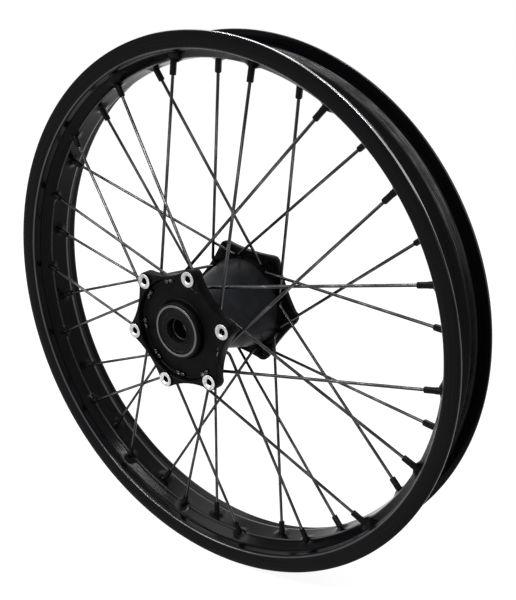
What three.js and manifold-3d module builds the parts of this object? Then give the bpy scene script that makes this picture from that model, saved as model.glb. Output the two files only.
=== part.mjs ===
// Spoked motorcycle wheel: a drop-centre rim laced with 36 spokes to a hub that carries a six-lug
// seat on each side, and the two ball bearings, dust seals and spacer tube that it turns on.
// Millimetres. The axle lies along Y, the near side is -Y, +Z is up, and the origin is on the axle
// in the middle plane of the rim.

import * as THREE from 'three';
import { mergeVertices } from 'three/addons/utils/BufferGeometryUtils.js';
import Module from 'manifold-3d';

const wasm = await Module();
wasm.setup();

// ---- driving dimensions ------------------------------------------------------------------------

const CLEARANCE = 0.3; // gap left between two pieces that touch on the real wheel
const LAP = 1; // how far two bodies that are joined run into each other
const PAST = 5; // how far a cutter runs past the face that it cuts

// Rim: radii from the axle, and distances from the middle plane
const RIM_R = 281; // over the lips, a 21 inch rim
const RIM_HALF_WIDTH = 34.6;
const LIP_WALL = 3.4; // thickness of the upright lip
const LIP_HEIGHT = 14; // lip top to bead seat
const LIP_ROUND = 1.2; // worn corner of the lip
const BAND_HEIGHT = 19; // flat side band that shows outside
const BAND_STEP = 1.6; // side band out from the wall under it
const SEAT_WIDTH = 11.5; // bead seat
const SEAT_DROP = 1; // taper of the bead seat
const BED_DEPTH = 29.5; // lip top to the bed that the nipples stand in
const BED_HALF_WIDTH = 11.5;
const BED_WALL = 5;
const RIM_WALL = 4.6; // wall under the bead seat
const UNDERSIDE_FALL = 0.7; // taper of the wall under the bead seat
const UNDERSIDE_SETBACK = 2.5; // bead seat's inner edge to the edge under it
const WELL_RUN = 8.5; // width over which the well wall climbs to the bead seat

// Spokes and nipples
const SPOKE_COUNT = 36;
const SPOKE_R = 1.6;
const FIRST_HOLE = 98.3; // angle of the first rim hole, degrees from +X towards +Z
const NIPPLE_LINE = -3.5; // middle of the two rows of nipple holes
const NIPPLE_ROW_OFFSET = 5; // each row's distance from that middle
const NIPPLE_R = 3.25;
const NIPPLE_HEAD_R = 4.6;
const NIPPLE_HEAD_HEIGHT = 3;
const NIPPLE_OUT = 10; // how far a nipple stands out of the bed
const NIPPLE_SEAT_WALL = 3; // bed wall left under a nipple head
const SPOKE_HEAD_R = 3.1;
const SPOKE_HEAD_HEIGHT = 2.2;
const HEAD_CROWN = 0.6; // top of a spoke's head over the end of its wire
const SHORT_ELBOW = 3; // hub face to the corner of a short elbow
const CROSSING_SHARE = 0.6; // share of the step between long and short elbows left at a crossing
const ELBOW_RUN = 7; // length of bend on each leg of a long elbow
const BEND_STEPS = 2;

// Hub
const LUG_COUNT = 6;
const LUG_CIRCLE_R = 60;
const LUG_R = 9.3;
const LUG_WRAP = 95; // degrees of round on each side of a lug's middle
const BOSS_R = 8.25; // machined face round each thread
const BOSS_RISE = 2; // machined face above the cast rim of the flange
const THREAD_R = 3.4;
const THREAD_DEPTH = 14;
const FLOOR_WALL = 5.5; // web that the spoke heads sit on
const RIB_WALL = 4.5;
const RIB_SETBACK = 3.5; // rib top below the flange rim
const RIB_HEAD_GAP = 1.2; // rib end to the spoke heads
const RING_SKIRT = 2.5; // bearing boss past the bare ring
const BOSS_DRAFT = 2; // growth of the bearing boss down to the web
const BOSS_EDGE = 0.5; // bearing boss corner below the flange rim
const RING_WALL = 2.5; // bare ring round each seal
const RING_SETBACK = 0.5; // ring face behind the lug faces
const SHOULDER_WALL = 4; // step that each bearing is pressed against
const SHOULDER_CLEAR = 1.2; // bore of that step past the outer race's shoulder
const BARREL_WALL = 6;
const HOLLOW_RUN = 2; // shortest run from a step's back to the barrel's full hollow
const BARREL_NEAR_R = 33;

// Each side: direction, lug face, web's inner face, lug angle, turn from rim hole to hub hole, and
// set from the lug circle, the spoke holes, the recess, and the outline midway between lugs at its
// front and back.
const NEAR = {
  name: 'near', out: -1, face: 68.5, webInner: 51, lugAngle: 13.1, sweep: 45.6,
  holeR: LUG_CIRCLE_R - 11.8, recessR: LUG_CIRCLE_R - 8,
  midFront: LUG_CIRCLE_R - 4.5, midBack: LUG_CIRCLE_R - 2.5,
};
const FAR = {
  name: 'far', out: 1, face: 50, webInner: 37, lugAngle: -6, sweep: 44.3,
  holeR: LUG_CIRCLE_R - 8, recessR: LUG_CIRCLE_R - 4.4,
  midFront: LUG_CIRCLE_R - 1.2, midBack: LUG_CIRCLE_R + 0.5,
};

// Flare of the barrel towards the far web: pairs of distance in from that web, and share of the
// climb from the barrel's near radius to the far spoke holes.
const FLARE = [[67, 0.03], [52, 0.13], [39, 0.34], [25, 0.58], [15, 0.73], [7, 0.85], [2, 1.05], [-2, 1.2]];

// Bearings, seals and spacer: 20 x 47 x 14 ball bearings
const AXLE_R = 10;
const BEARING_R = 23.5;
const BEARING_WIDTH = 14;
const BALL_COUNT = 8;
const BALL_R = 3.97;
const RACE_GAP = 0.28; // ball to the bottom of its groove
const SHOULDER_R_GAP = 2.55; // pitch circle to a race's shoulder
const GROOVE_HALF = 3.45; // half width of a groove at the shoulder
const GROOVE_FLOOR_HALF = 1.45; // and at its bottom
const CAGE_HALF = [1.15, 1.3]; // half of the cage's radial and axial size
const SEAL_STEP = 0.5; // seal's radius past the bearing's, which goes in through its bore
const SEAL_LIP_R = 13;
const SEAL_WIDTH = 6.5;
const SEAL_WALL = 1.6;
const SEAL_RIM_WALL = 2; // stiff outer rim
const SEAL_LIP_WALL = 1.8;
const SEAL_LIP_DEPTH = 3.4;
const SEAL_SETBACK = 0.7; // seal face behind the machined ring
const SPACER_R = 13;

// Facets
const RIM_FACETS = 48;
const HUB_FACETS = 30;
const BEARING_FACETS = 20;
const WIRE_FACETS = 6;
const BOLT_FACETS = 8;
const BOSS_FACETS = 10;
const BALL_FACETS = 6;
const LUG_STEPS = 3;

// ---- radii that follow -------------------------------------------------------------------------

const PITCH_R = (AXLE_R + BEARING_R) / 2;
const SEAL_R = BEARING_R + SEAL_STEP;
const MACHINED_RING_R = SEAL_R + RING_WALL;
const BEARING_BOSS_R = MACHINED_RING_R + RING_SKIRT;

// ---- helpers -----------------------------------------------------------------------------------

const rad = THREE.MathUtils.degToRad;
const polar = (r, degrees, y = 0) =>
  new THREE.Vector3(r * Math.cos(rad(degrees)), y, r * Math.sin(rad(degrees)));

// Merges shared corners and drops the flat triangles that a profile on the axis leaves.
function weld(geometry) {
  geometry.deleteAttribute('normal');
  geometry.deleteAttribute('uv');
  const welded = mergeVertices(geometry, 1e-4);
  const index = [...welded.index.array];
  const kept = [];
  for (let i = 0; i < index.length; i += 3) {
    const [a, b, c] = index.slice(i, i + 3);
    if (a !== b && b !== c && c !== a) kept.push(a, b, c);
  }
  welded.setIndex(kept);
  return welded;
}

function solid(geometry) {
  const welded = weld(geometry);
  return new wasm.Manifold(new wasm.Mesh({
    numProp: 3,
    vertProperties: new Float32Array(welded.attributes.position.array),
    triVerts: new Uint32Array(welded.index.array),
  }));
}

function geometryOf(body) {
  const mesh = body.getMesh();
  const geometry = new THREE.BufferGeometry();
  geometry.setAttribute('position', new THREE.BufferAttribute(mesh.vertProperties, 3));
  geometry.setIndex([...mesh.triVerts]);
  return geometry;
}

const joined = (bodies) => bodies.reduce((whole, body) => whole.add(body));
const without = (body, cutters) => cutters.reduce((whole, cutter) => whole.subtract(cutter), body);

// Turns a closed outline of [radius, y] points about the axle. Points run either way round.
function revolve(points, facets) {
  const twiceArea = points.reduce((sum, [r, y], i) => {
    const [nextR, nextY] = points[(i + 1) % points.length];
    return sum + r * nextY - nextR * y;
  }, 0);
  const loop = twiceArea > 0 ? points : [...points].reverse();
  const outline = [...loop, loop[0]].map(([r, y]) => new THREE.Vector2(r, y));
  return new THREE.LatheGeometry(outline, facets);
}

// Round bar along Y between two heights, at a place given by its x and z.
function bar(r, from, to, at, facets) {
  const geometry = new THREE.CylinderGeometry(r, r, Math.abs(to - from), facets);
  return geometry.translate(at.x, (from + to) / 2, at.z);
}

// Lays a geometry made along Y on the axis that starts at a point and runs in a direction.
function along(geometry, point, direction) {
  const turn = new THREE.Quaternion().setFromUnitVectors(new THREE.Vector3(0, 1, 0), direction);
  return geometry.applyQuaternion(turn).translate(point.x, point.y, point.z);
}

// A curve through listed stations, so that a bend gets its steps and a straight run gets one.
class StationPath extends THREE.Curve {
  constructor(stations) {
    super();
    this.stations = stations;
  }

  place(t) {
    return Math.round(t * (this.stations.length - 1));
  }

  getPoint(t) {
    return this.stations[this.place(t)].clone();
  }

  getTangent(t) {
    const here = this.place(t);
    const before = this.stations[Math.max(here - 1, 0)];
    const after = this.stations[Math.min(here + 1, this.stations.length - 1)];
    const middle = this.stations[here];
    const inward = middle.clone().sub(before).normalize();
    const outward = after.clone().sub(middle).normalize();
    return inward.add(outward).normalize();
  }

  getPointAt(u) {
    return this.getPoint(u);
  }

  getTangentAt(u) {
    return this.getTangent(u);
  }
}

// ---- lacing ------------------------------------------------------------------------------------

const bedR = RIM_R - BED_DEPTH;
const nippleSeatR = bedR + NIPPLE_SEAT_WALL;

// Outline of the barrel outside, as radius and distance along the axle, from near to far.
const barrelOutline = [
  [BARREL_NEAR_R, -(NEAR.webInner + LAP)],
  ...FLARE.map(([inset, share]) =>
    [BARREL_NEAR_R + share * (FAR.holeR - BARREL_NEAR_R), FAR.webInner - inset]),
];

// Where a side's spokes leave the casting: on the flare if it is wide enough, or else at the web.
function exitOf(side) {
  const outline = barrelOutline.map(([r, y]) => [r, side.out * y]).sort((a, b) => b[1] - a[1]);
  const k = outline.findIndex(([r]) => r < side.holeR);
  if (k === 0) return side.webInner;
  const [[wideR, wideY], [slimR, slimY]] = outline.slice(k - 1, k + 1);
  return slimY + (wideY - slimY) * (side.holeR - slimR) / (wideR - slimR);
}

// How much further in a long elbow's corner lies, so that two spokes clear where they cross.
const elbowStep = (2 * SPOKE_R + CLEARANCE) / CROSSING_SHARE;

// Sides alternate round the rim; of each four spokes two lean one way and two the other.
function lacing(number) {
  const side = number % 2 ? NEAR : FAR;
  const leads = number % 4 === 1 || number % 4 === 2;
  const rimAngle = FIRST_HOLE - (number - 1) * 360 / SPOKE_COUNT;
  const hubAngle = rimAngle + (leads ? side.sweep : -side.sweep);
  const elbow = SHORT_ELBOW + (leads ? elbowStep : 0);
  const corner = polar(side.holeR, hubAngle, side.out * (exitOf(side) - elbow));
  const seatY = NIPPLE_LINE + side.out * NIPPLE_ROW_OFFSET;
  const seat = polar(nippleSeatR, rimAngle, seatY);
  const direction = seat.clone().sub(corner).normalize();
  return { side, leads, hubAngle, corner, seat, direction };
}

const spokeNumbers = Array.from({ length: SPOKE_COUNT }, (_, i) => i + 1);
const webOuter = (side) => side.webInner + FLOOR_WALL;

// Profile of a nipple along its own axis, from 0 at the seat under its head, grown by a gap.
function nippleProfile(gap, tip, top) {
  const grow = gap / Math.cos(Math.PI / WIRE_FACETS);
  return [[0, tip], [NIPPLE_R + grow, tip], [NIPPLE_R + grow, -gap],
    [NIPPLE_HEAD_R + grow, -gap], [NIPPLE_HEAD_R + grow, top], [0, top]];
}

// ---- rim ---------------------------------------------------------------------------------------

function rimSide(sign) {
  const bandFoot = RIM_R - BAND_HEIGHT;
  const seatR = RIM_R - LIP_HEIGHT;
  const lipInner = RIM_HALF_WIDTH - LIP_WALL;
  const wellTop = lipInner - SEAT_WIDTH;
  const wellR = bedR + BED_WALL;
  const undersideR = seatR - RIM_WALL - SEAT_DROP;
  const outside = [
    [bedR, BED_HALF_WIDTH],
    [undersideR, wellTop + UNDERSIDE_SETBACK],
    [undersideR - UNDERSIDE_FALL, RIM_HALF_WIDTH - BAND_STEP],
    [bandFoot, RIM_HALF_WIDTH],
    [RIM_R - LIP_ROUND, RIM_HALF_WIDTH],
    [RIM_R, RIM_HALF_WIDTH - LIP_ROUND],
    [RIM_R, lipInner],
    [seatR, lipInner],
    [seatR - SEAT_DROP, wellTop],
    [wellR, wellTop - WELL_RUN],
  ];
  return outside.map(([r, y]) => [r, sign * y]);
}

function rim() {
  const ring = solid(revolve([...rimSide(1), ...rimSide(-1).reverse()], RIM_FACETS));
  const holes = spokeNumbers.map((number) => {
    const { seat, direction } = lacing(number);
    const tool = revolve(nippleProfile(CLEARANCE, -NIPPLE_OUT, BED_WALL + PAST), WIRE_FACETS);
    return solid(along(tool, seat, direction));
  });
  return geometryOf(without(ring, holes));
}

// ---- hub ---------------------------------------------------------------------------------------

// Outline of a flange: a round lug at each bolt, joined by hollow curves.
function lugOutline(side, midR) {
  const wrap = rad(LUG_WRAP);
  const step = 2 * Math.PI / LUG_COUNT;
  const lug = (k) => rad(side.lugAngle) + k * step;
  const spot = (r, angle) => new THREE.Vector2(r * Math.cos(angle), r * Math.sin(angle));
  const centre = (k) => spot(LUG_CIRCLE_R, lug(k));
  const edge = (k, turn) => centre(k).add(spot(LUG_R, lug(k) + turn));
  const shape = new THREE.Shape();
  for (let k = 0; k < LUG_COUNT; k += 1) {
    const leave = edge(k, wrap);
    const arrive = edge(k + 1, -wrap);
    const middle = spot(midR, lug(k) + step / 2);
    const pull = middle.multiplyScalar(2).sub(leave.add(arrive).multiplyScalar(0.5));
    shape.absarc(centre(k).x, centre(k).y, LUG_R, lug(k) - wrap, lug(k) + wrap);
    shape.quadraticCurveTo(pull.x, pull.y, arrive.x, arrive.y);
  }
  return shape;
}

// A plate with that outline between two distances from the middle plane of the rim.
function plate(side, midR, inner, outer) {
  const depth = outer - inner;
  const options = { depth, bevelEnabled: false, curveSegments: LUG_STEPS };
  const geometry = new THREE.ExtrudeGeometry(lugOutline(side, midR), options).rotateX(Math.PI / 2);
  const middle = side.out * (inner + outer) / 2;
  return solid(geometry.translate(0, middle + depth / 2, 0));
}

const castFace = (side) => side.face - BOSS_RISE;
const ringFace = (side) => side.face - RING_SETBACK;
const sealFace = (side) => ringFace(side) - SEAL_SETBACK;
const bearingFace = (side) => sealFace(side) - SEAL_WIDTH - CLEARANCE;
const bearingBack = (side) => bearingFace(side) - BEARING_WIDTH;
const shoulderBack = (side) => bearingBack(side) - CLEARANCE - SHOULDER_WALL;
const shoulderR = PITCH_R + SHOULDER_R_GAP + SHOULDER_CLEAR;

// Everything of the hub that is round about the axle.
function barrel() {
  const lip = SEAL_R + CLEARANCE;
  const seat = BEARING_R + CLEARANCE;
  const boss = (side) => [
    [seat, side.out * (bearingBack(side) - CLEARANCE)],
    [seat, side.out * bearingFace(side)],
    [lip, side.out * bearingFace(side)],
    [lip, side.out * ringFace(side)],
    [MACHINED_RING_R, side.out * ringFace(side)],
    [BEARING_BOSS_R, side.out * (castFace(side) - BOSS_EDGE)],
    [BEARING_BOSS_R + BOSS_DRAFT, side.out * webOuter(side)],
  ];
  const hollowStart = HOLLOW_RUN - shoulderBack(NEAR);
  const hollowEnd = shoulderBack(FAR) - HOLLOW_RUN;
  const hollow = barrelOutline.filter(([, y]) => y > hollowStart && y < hollowEnd)
    .map(([r, y]) => [r - BARREL_WALL, y]);
  const profile = [
    ...boss(NEAR), ...barrelOutline, ...boss(FAR).reverse(),
    [shoulderR, bearingBack(FAR) - CLEARANCE], [shoulderR, shoulderBack(FAR)],
    ...hollow.reverse(),
    [shoulderR, -shoulderBack(NEAR)], [shoulderR, -(bearingBack(NEAR) - CLEARANCE)],
  ];
  return solid(revolve(profile, HUB_FACETS));
}

function flange(side) {
  const y = (distance) => side.out * distance;
  const front = plate(side, side.midFront, webOuter(side) - LAP, castFace(side));
  const back = plate(side, side.midBack, side.webInner, webOuter(side) + LAP);
  const lugs = Array.from({ length: LUG_COUNT }, (_, k) => side.lugAngle + k * 360 / LUG_COUNT);
  const bosses = lugs.map((angle) =>
    solid(bar(BOSS_R, y(webOuter(side)), y(side.face), polar(LUG_CIRCLE_R, angle), BOSS_FACETS)));
  const recess = solid(revolve([
    [AXLE_R, y(webOuter(side))], [side.recessR, y(webOuter(side))],
    [side.recessR, y(side.face + PAST)], [AXLE_R, y(side.face + PAST)],
  ], HUB_FACETS));
  const ribs = lugs.map((angle) => rib(side, angle + 180 / LUG_COUNT));
  return joined([front.add(back).subtract(recess), ...bosses, ...ribs]);
}

// A short web on the floor of the recess, from the bearing boss to just short of the spoke heads.
function rib(side, angle) {
  const top = castFace(side) - RIB_SETBACK;
  const foot = webOuter(side) - LAP;
  const outerR = side.holeR - SPOKE_HEAD_R - RIB_HEAD_GAP;
  const innerR = BEARING_BOSS_R - LAP;
  const geometry = new THREE.BoxGeometry(outerR - innerR, top - foot, RIB_WALL);
  geometry.translate((outerR + innerR) / 2, side.out * (top + foot) / 2, 0);
  return solid(geometry.rotateY(-rad(angle)));
}

function threads(side) {
  return Array.from({ length: LUG_COUNT }, (_, k) => {
    const at = polar(LUG_CIRCLE_R, side.lugAngle + k * 360 / LUG_COUNT);
    const bottom = side.out * (side.face - THREAD_DEPTH);
    return solid(bar(THREAD_R, bottom, side.out * (side.face + PAST), at, BOLT_FACETS));
  });
}

function spokeHoles() {
  const holeR = (SPOKE_R + CLEARANCE) / Math.cos(Math.PI / WIRE_FACETS);
  return spokeNumbers.map((number) => {
    const { side, hubAngle } = lacing(number);
    const inner = side.out * (exitOf(side) - PAST);
    const outer = side.out * (webOuter(side) + LAP);
    return solid(bar(holeR, inner, outer, polar(side.holeR, hubAngle), WIRE_FACETS));
  });
}

// Each spoke goes in head last, so its way in is cleared of anything that stands over the web.
function headPockets(side) {
  const r = (SPOKE_HEAD_R + CLEARANCE) / Math.cos(Math.PI / WIRE_FACETS);
  const mine = spokeNumbers.map(lacing).filter((lace) => lace.side === side);
  const foot = side.out * webOuter(side);
  const top = side.out * (side.face + PAST);
  return mine.map(({ hubAngle }) => solid(bar(r, foot, top, polar(side.holeR, hubAngle), WIRE_FACETS)));
}

// Clears the bearing and seal bores through the flanges.
function endBore(side) {
  const profile = [
    [0, shoulderBack(side) - LAP], [shoulderR, shoulderBack(side) - LAP],
    [shoulderR, bearingBack(side) - CLEARANCE], [BEARING_R + CLEARANCE, bearingBack(side) - CLEARANCE],
    [BEARING_R + CLEARANCE, bearingFace(side)], [SEAL_R + CLEARANCE, bearingFace(side)],
    [SEAL_R + CLEARANCE, side.face + PAST], [0, side.face + PAST],
  ];
  return solid(revolve(profile.map(([r, y]) => [r, side.out * y]), HUB_FACETS));
}

function hubShell() {
  const flanges = [NEAR, FAR].map((side) => flange(side).subtract(endBore(side)));
  const body = joined([barrel(), ...flanges]);
  const cutters = [NEAR, FAR].flatMap((side) => [...threads(side), ...headPockets(side)]);
  return geometryOf(without(body, [...cutters, ...spokeHoles()]));
}

// ---- spokes ------------------------------------------------------------------------------------

// One spoke with the nipple screwed on its end: head, elbow, straight run, nipple.
function spoke(number) {
  const { side, leads, corner, seat, direction } = lacing(number);
  const headFoot = side.out * (webOuter(side) + CLEARANCE);
  const headTop = side.out * (webOuter(side) + CLEARANCE + SPOKE_HEAD_HEIGHT);
  const run = leads ? ELBOW_RUN : SHORT_ELBOW;
  const start = corner.clone().setY(headTop - side.out * HEAD_CROWN);
  const bendStart = corner.clone().setY(corner.y + side.out * run);
  const bendEnd = corner.clone().addScaledVector(direction, run);
  const bend = new THREE.QuadraticBezierCurve3(bendStart, corner, bendEnd);
  const lean = direction.dot(seat.clone().setY(0).normalize());
  const nippleTip = -(NIPPLE_OUT + NIPPLE_SEAT_WALL) / lean;
  const end = seat.clone().addScaledVector(direction, -LAP);
  const path = new StationPath([start, ...bend.getPoints(BEND_STEPS), end]);
  const section = new THREE.Shape();
  section.absarc(0, 0, SPOKE_R, 0, 2 * Math.PI);
  const wire = new THREE.ExtrudeGeometry(section, {
    steps: path.stations.length - 1,
    curveSegments: WIRE_FACETS / 2,
    extrudePath: path,
    bevelEnabled: false,
  });
  const head = bar(SPOKE_HEAD_R, headFoot, headTop, corner, WIRE_FACETS);
  const nipple = revolve(nippleProfile(0, nippleTip, NIPPLE_HEAD_HEIGHT), WIRE_FACETS);
  return geometryOf(joined([solid(wire), solid(head), solid(along(nipple, seat, direction))]));
}

// ---- bearings, seals and spacer ----------------------------------------------------------------

const bearingMiddle = (side) => side.out * (bearingFace(side) + bearingBack(side)) / 2;

// A race between its plain face and its shoulder, with a groove for the balls.
function race(side, plainR, direction) {
  const middle = bearingMiddle(side);
  const half = BEARING_WIDTH / 2;
  const shoulder = PITCH_R + direction * SHOULDER_R_GAP;
  const groove = PITCH_R + direction * (BALL_R + RACE_GAP);
  const profile = [
    [plainR, -half], [plainR, half], [shoulder, half],
    [shoulder, GROOVE_HALF], [groove, GROOVE_FLOOR_HALF],
    [groove, -GROOVE_FLOOR_HALF], [shoulder, -GROOVE_HALF], [shoulder, -half],
  ];
  return weld(revolve(profile.map(([r, y]) => [r, middle + y]), BEARING_FACETS));
}

// The balls and the cage that spaces them, which go round together.
function ballSet(side) {
  const middle = bearingMiddle(side);
  const [radial, axial] = CAGE_HALF;
  const cage = solid(revolve([
    [PITCH_R - radial, middle - axial], [PITCH_R + radial, middle - axial],
    [PITCH_R + radial, middle + axial], [PITCH_R - radial, middle + axial],
  ], BEARING_FACETS));
  const balls = Array.from({ length: BALL_COUNT }, (_, k) => {
    const at = polar(PITCH_R, k * 360 / BALL_COUNT, middle);
    const ball = new THREE.SphereGeometry(BALL_R, BALL_FACETS, BALL_FACETS / 2);
    return solid(ball.translate(at.x, at.y, at.z));
  });
  return geometryOf(joined([cage, ...balls]));
}

// A dust seal: a stiff rim pressed into the hub, a thin face, and a lip at its bore.
function seal(side) {
  const front = sealFace(side);
  const rimInner = SEAL_R - SEAL_RIM_WALL;
  const profile = [
    [SEAL_R, front], [SEAL_R, front - SEAL_WIDTH],
    [rimInner, front - SEAL_WIDTH], [rimInner, front - SEAL_WALL],
    [SEAL_LIP_R + SEAL_LIP_WALL, front - SEAL_WALL],
    [SEAL_LIP_R + SEAL_LIP_WALL / 2, front - SEAL_LIP_DEPTH],
    [SEAL_LIP_R, front - SEAL_LIP_DEPTH], [SEAL_LIP_R, front],
  ];
  return weld(revolve(profile.map(([r, y]) => [r, side.out * y]), BEARING_FACETS));
}

function spacer() {
  const near = -(bearingBack(NEAR) - CLEARANCE);
  const far = bearingBack(FAR) - CLEARANCE;
  return weld(revolve([[AXLE_R, near], [SPACER_R, near], [SPACER_R, far], [AXLE_R, far]], BEARING_FACETS));
}

// ---- assembly ----------------------------------------------------------------------------------

const finish = {
  rim: { color: 0x17181a, roughness: 0.32, metalness: 0.6 },
  hub: { color: 0x202124, roughness: 0.45, metalness: 0.5 },
  spoke: { color: 0x8b8f94, roughness: 0.3, metalness: 0.9 },
  steel: { color: 0xb9bcc0, roughness: 0.25, metalness: 1 },
  cage: { color: 0x8f7f5a, roughness: 0.4, metalness: 0.8 },
  rubber: { color: 0x2a2a2b, roughness: 0.7, metalness: 0 },
  spacer: { color: 0xa7aab0, roughness: 0.35, metalness: 0.9 },
};

function piece(name, geometry, look) {
  const mesh = new THREE.Mesh(geometry, new THREE.MeshStandardMaterial(finish[look]));
  mesh.name = name;
  return mesh;
}

const wheel = new THREE.Group();
wheel.add(piece('rim', rim(), 'rim'));
wheel.add(piece('hub_shell', hubShell(), 'hub'));
for (const number of spokeNumbers) {
  wheel.add(piece(`spoke_${String(number).padStart(2, '0')}`, spoke(number), 'spoke'));
}
for (const side of [NEAR, FAR]) {
  wheel.add(piece(`seal_${side.name}`, seal(side), 'rubber'));
  wheel.add(piece(`bearing_${side.name}_outer_race`, race(side, BEARING_R, 1), 'steel'));
  wheel.add(piece(`bearing_${side.name}_ball_set`, ballSet(side), 'cage'));
  wheel.add(piece(`bearing_${side.name}_inner_race`, race(side, AXLE_R, -1), 'steel'));
}
wheel.add(piece('bearing_spacer', spacer(), 'spacer'));

export default wheel;
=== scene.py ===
"""Spoked motorcycle wheel: rim, 36 spokes and nipples, six-lug hub, seals and bearings.

Sizes are in millimetres, and the helpers turn them into the scene's metres. The axle lies along Y,
the near side is -Y, +Z is up, and the origin is on the axle in the middle plane of the rim.
"""

import math

import bmesh
import bpy
from mathutils import Matrix, Vector


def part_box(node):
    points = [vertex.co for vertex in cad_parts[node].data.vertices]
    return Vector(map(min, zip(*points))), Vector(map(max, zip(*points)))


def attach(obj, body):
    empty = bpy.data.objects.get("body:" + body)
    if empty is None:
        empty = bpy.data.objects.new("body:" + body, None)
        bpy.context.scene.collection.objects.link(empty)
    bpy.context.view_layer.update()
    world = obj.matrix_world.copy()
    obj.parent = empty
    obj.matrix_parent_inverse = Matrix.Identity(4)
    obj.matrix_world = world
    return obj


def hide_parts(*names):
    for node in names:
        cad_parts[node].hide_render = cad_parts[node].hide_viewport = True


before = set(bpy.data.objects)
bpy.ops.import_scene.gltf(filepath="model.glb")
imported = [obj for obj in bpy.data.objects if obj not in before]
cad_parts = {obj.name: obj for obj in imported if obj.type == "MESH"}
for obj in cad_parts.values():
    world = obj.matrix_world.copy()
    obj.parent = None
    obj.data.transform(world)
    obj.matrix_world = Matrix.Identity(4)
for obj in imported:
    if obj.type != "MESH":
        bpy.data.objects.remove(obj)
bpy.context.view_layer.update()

MM = 0.001
TINY = 1e-6
TURN = 2 * math.pi

# ---- sizes ---------------------------------------------------------------------------------------

RIM_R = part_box("rim")[1].x / MM
RIM_HALF_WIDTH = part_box("rim")[1].y / MM
LIP_WALL = 3.4
LIP_HEIGHT = 14
BAND_HEIGHT = 16.5
BAND_LEAN = 2.6
SEAT_WIDTH = 11.5
BED_R = RIM_R - 25.2
BED_HALF_WIDTH = 11.5
BED_WALL = 3.2
BED_ROWS = 5
SLOPE_ROWS = 4
UNDERSIDE_WALL = 3
UNDERSIDE_OVERHANG = 2.5
RIM_STEPS = 576
MOUND_RISE = 3.3
MOUND_REACH = 10

SPOKE_COUNT = 36
SPOKE_R = 1.6
FIRST_HOLE = 98.45
HOLE_PAIRING = 0.5
NIPPLE_LINE = -6.9
NIPPLE_ROW_OFFSET = 6.4
BED_TO_SEAT = 3
NIPPLE_SEAT_R = BED_R + BED_TO_SEAT
NIPPLE_R = 3.25
NIPPLE_HEAD_R = 4.6
NIPPLE_TIP = -17
HOLE_GAP = 0.25
DRILL_REACH = 9
DRILL_STEPS = 20
SPOKE_HEAD_R = 3.1
SPOKE_HEAD_HEIGHT = 2.2
HEAD_TOP = 0.6
HEAD_CROWN = 0.68
HEAD_ROOM = 3.4
WIRE_HOLE_R = SPOKE_R + 0.25
HEAD_POCKET_R = SPOKE_HEAD_R + 0.3
POCKET_STEPS = 16
SHORT_ELBOW = 3
LONG_ELBOW = SHORT_ELBOW + 5.83
LONG_ELBOW_RUN = 7
WIRE_SIDES = 12
ELBOW_STEPS = 8
NIPPLE_SIDES = 16
DRIVE_HALF = 2.8
DRIVE_START = -7

LUG_COUNT = 6
LUG_CIRCLE_R = 60
LUG_R = 8.7
LUG_STEPS = 10
HOLLOW_STEPS = 8
PLATE_WELD = 0.01
PLATE_GROWTH = 1.005
FRONT_ROUNDING = 0.9
BACK_ROUNDING = 1.2
BOSS_R = 7.7
BOSS_RISE = 2
BOSS_STEPS = 32
THREAD_R = 3.4
FLOOR_WALL = 4.2
DISH_BORE_R = 28
BOSS_OUTER_R = 29
RING_R = 26.5
SHOULDER_R = 20.5
HUB_STEPS = 96
CLEARANCE = 0.3

AXLE_R = 10
BEARING_R = 23.5
BEARING_WIDTH = 14
SEAL_R = 24
SEAL_WIDTH = 6.5
SEAL_LIP_R = 13
SEAL_SETBACK = 0.7
RING_STEP = 0.5
LUG_DEPTH = 0.5
LUG_INNER_R = 45
RING_DEPTH = 0.4
FACING_OUT = 0.3
SPACER_R = 13
BALL_COUNT = 8
BALL_R = 3.97
BALL_STEPS = 12
RACE_GAP = 0.28
POCKET_GAP = 0.18
SHOULDER_GAP = 2.55
GROOVE_STEPS = 8
CAGE_WALL = 2.2
CAGE_WIDTH = 10.8
SEAL_STEPS = 72

# Each side: which way it faces, lug face, web's inner face, lug angle, radius of the spoke holes,
# turns from a rim hole to its hub hole for leading and trailing spokes, radius of the dish, and of
# the outline midway between lugs.
NEAR = dict(
    name="near", out=-1, face=68.5, web=55, lug_angle=13.1, hole_r=50.5, sweeps=(43.6, 48.1),
    recess_r=52, mid_r=55.5,
)
FAR = dict(
    name="far", out=1, face=50, web=41, lug_angle=-6, hole_r=53.5, sweeps=(43.1, 46.5),
    recess_r=55.6, mid_r=58.4,
)

# Light and camera, in metres and watts. The camera's side and rise move it off the axle's middle.
WORLD_LIGHT = 0.55
FLOOR_SIZE = 60
FLOOR_GAP = 0.0002
FLOOR_WHITE = 0.8
FLOOR_GLOW = 1.15
LAMPS = [
    ("key", (-1.3, -1.2, 1.5), (1.2, 0.9), 26),
    ("top_strip", (0, -0.3, 2.2), (2.4, 0.1), 36),
    ("front_strip", (-0.05, -1.4, 1.55), (1, 0.08), 26),
    ("back", (-0.8, 1.8, 1.4), (1.4, 1.0), 12),
]
CAMERA_AZIMUTH = 36.892
CAMERA_ELEVATION = 20.132
CAMERA_DISTANCE = 809.5
CAMERA_SIDE = 40.18
CAMERA_RISE = 12.35
CAMERA_LENS = 46.13

# ---- modelling helpers ---------------------------------------------------------------------------


def polar(r, degrees, y=0.0):
    """A point in metres, from a radius and distance along the axle in millimetres."""
    turn = math.radians(degrees)
    return Vector((r * math.cos(turn), y, r * math.sin(turn))) * MM


def deselect():
    bpy.ops.object.select_all(action="DESELECT")


def edit(piece):
    deselect()
    bpy.context.view_layer.objects.active = piece
    piece.select_set(True)
    bpy.ops.object.mode_set(mode="EDIT")


def leave():
    bpy.ops.object.mode_set(mode="OBJECT")


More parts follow.
